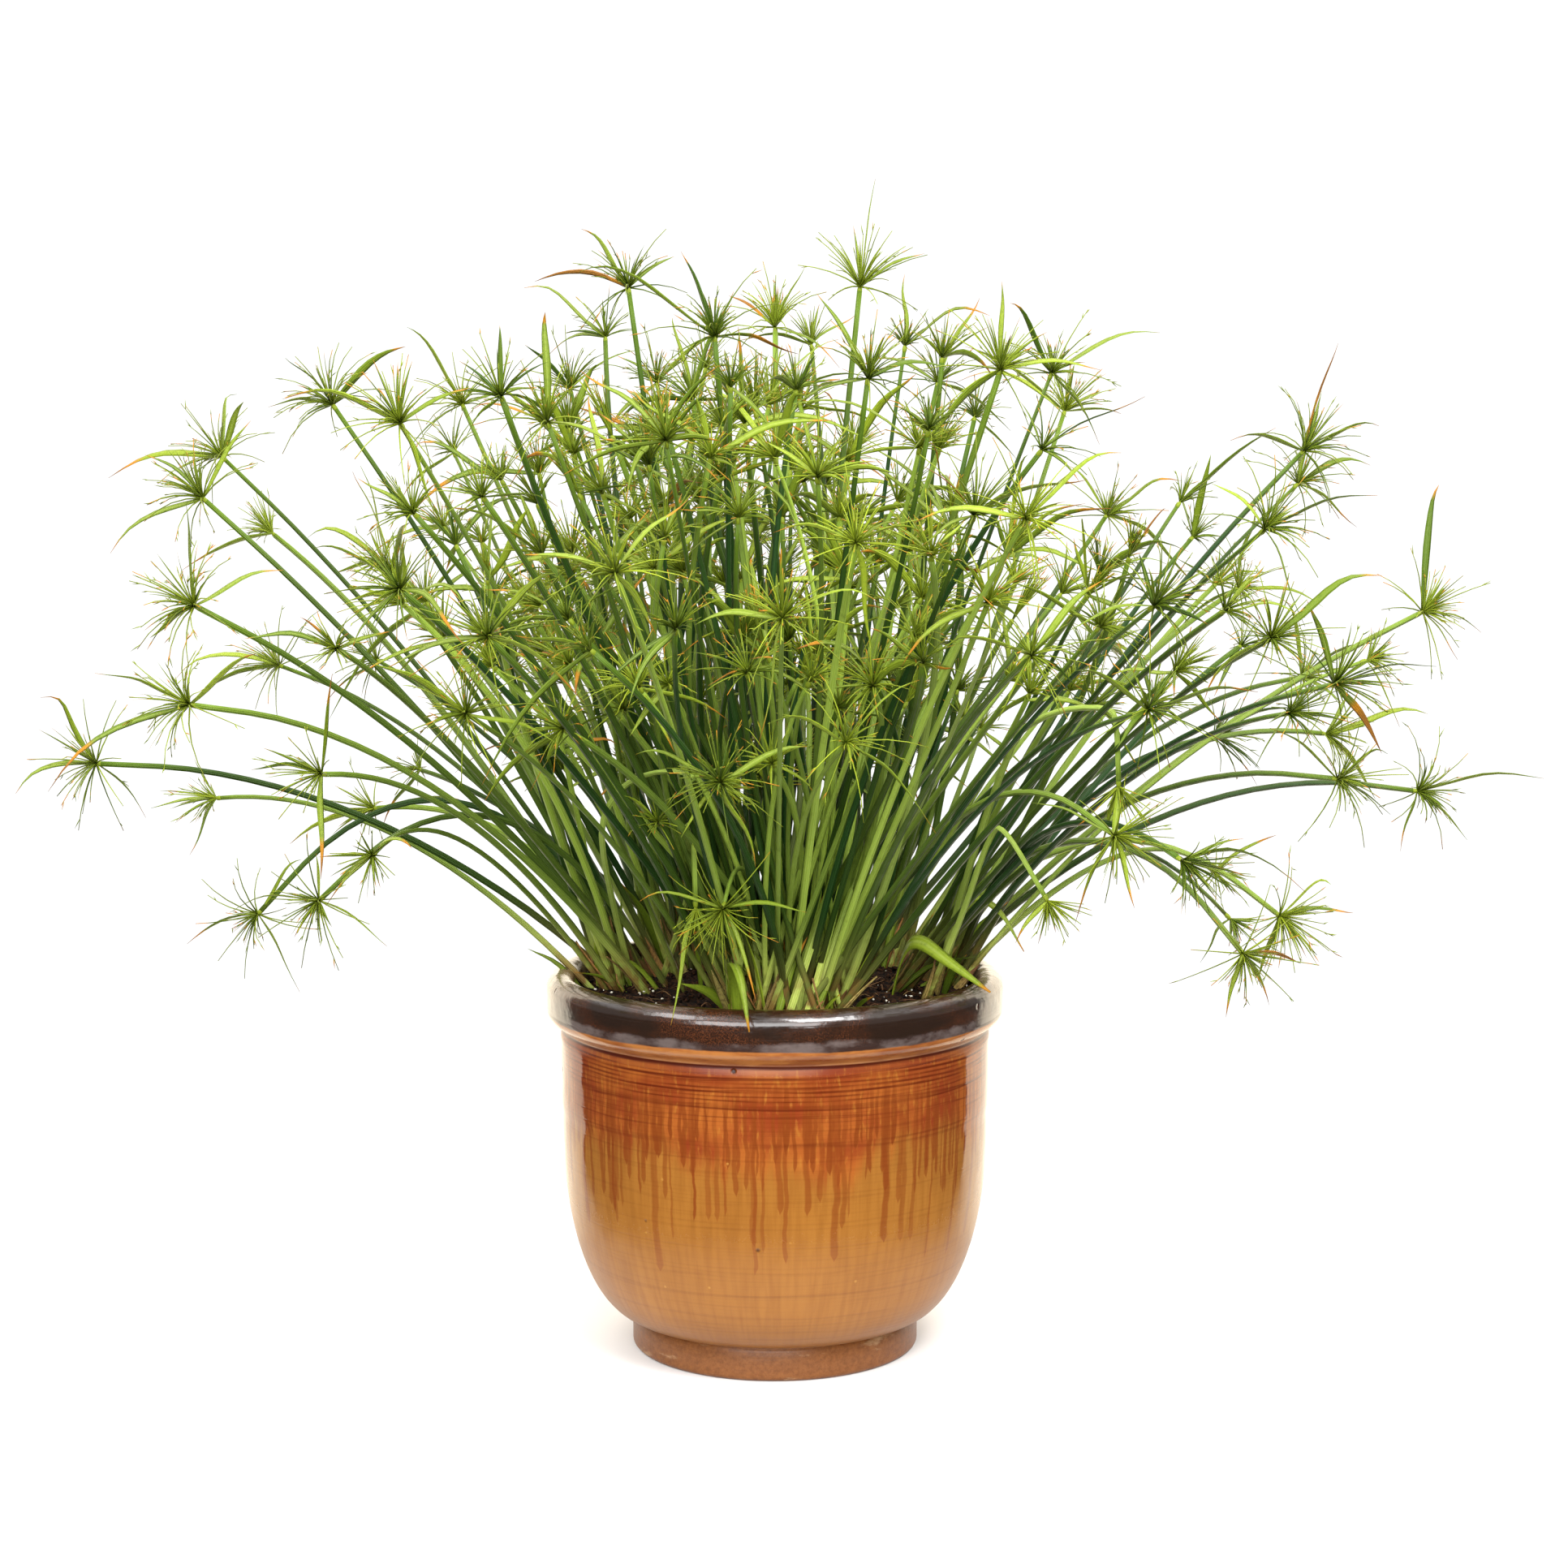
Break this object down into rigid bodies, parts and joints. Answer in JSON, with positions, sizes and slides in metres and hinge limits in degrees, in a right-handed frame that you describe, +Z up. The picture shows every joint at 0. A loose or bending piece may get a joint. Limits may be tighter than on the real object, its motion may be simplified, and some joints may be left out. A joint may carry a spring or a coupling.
{
  "type": "potted papyrus plant",
  "caption": "Dwarf papyrus with arching stems and umbels of thin rays and bracts, growing in clumps from soil in a round glazed ceramic pot with a rolled rim.",
  "frame": {"origin": "on the pot's axis, in the plane that its foot rests on", "axes": "+Z up along the pot's axis, and +Y away from the picture's camera, so that the side seen in the picture faces -Y"},
  "size_m": [0.9857, 0.7621, 0.7629],
  "materials": {
    "glaze": "glossy brown glaze that runs over an ochre body, near black on the rim",
    "soil": "matt crumbly dark potting soil with pale grains",
    "stem_green": "satin yellow-green stems, rays and bracts, brown at some tips",
    "leaf_green": "satin green blades with dry brown tips"
  },
  "bodies": {
    "root": {"leaf_front": "leaf_green", "leaf_outer": "leaf_green", "leaf_right": "leaf_green", "pot": "glaze", "soil": "soil", "stem_back_left_01": "stem_green", "stem_back_left_02": "stem_green", "stem_back_left_03": "stem_green", "stem_back_left_04": "stem_green", "stem_back_left_05": "stem_green", "stem_back_left_06": "stem_green", "stem_back_left_07": "stem_green", "stem_back_right_01": "stem_green", "stem_back_right_02": "stem_green", "stem_back_right_03": "stem_green", "stem_back_right_04": "stem_green", "stem_front_01": "stem_green", "stem_front_02": "stem_green", "stem_front_03": "stem_green", "stem_front_04": "stem_green", "stem_front_05": "stem_green", "stem_front_06": "stem_green", "stem_front_07": "stem_green", "stem_front_08": "stem_green", "stem_front_09": "stem_green", "stem_front_10": "stem_green", "stem_front_11": "stem_green", "stem_front_12": "stem_green", "stem_front_13": "stem_green", "stem_front_14": "stem_green", "stem_front_15": "stem_green", "stem_front_16": "stem_green", "stem_front_17": "stem_green", "stem_front_18": "stem_green", "stem_front_19": "stem_green", "stem_front_20": "stem_green", "stem_front_21": "stem_green", "stem_front_22": "stem_green", "stem_left_01": "stem_green", "stem_left_02": "stem_green", "stem_left_03": "stem_green", "stem_left_04": "stem_green", "stem_left_05": "stem_green", "stem_left_06": "stem_green", "stem_left_07": "stem_green", "stem_left_08": "stem_green", "stem_left_09": "stem_green", "stem_left_10": "stem_green", "stem_right_01": "stem_green", "stem_right_02": "stem_green", "stem_right_03": "stem_green", "stem_right_04": "stem_green", "stem_right_05": "stem_green", "stem_right_06": "stem_green", "stem_right_07": "stem_green", "stem_right_08": "stem_green", "stem_right_09": "stem_green", "stem_right_10": "stem_green", "stem_right_11": "stem_green", "stem_right_12": "stem_green"}
  },
  "joints": []
}
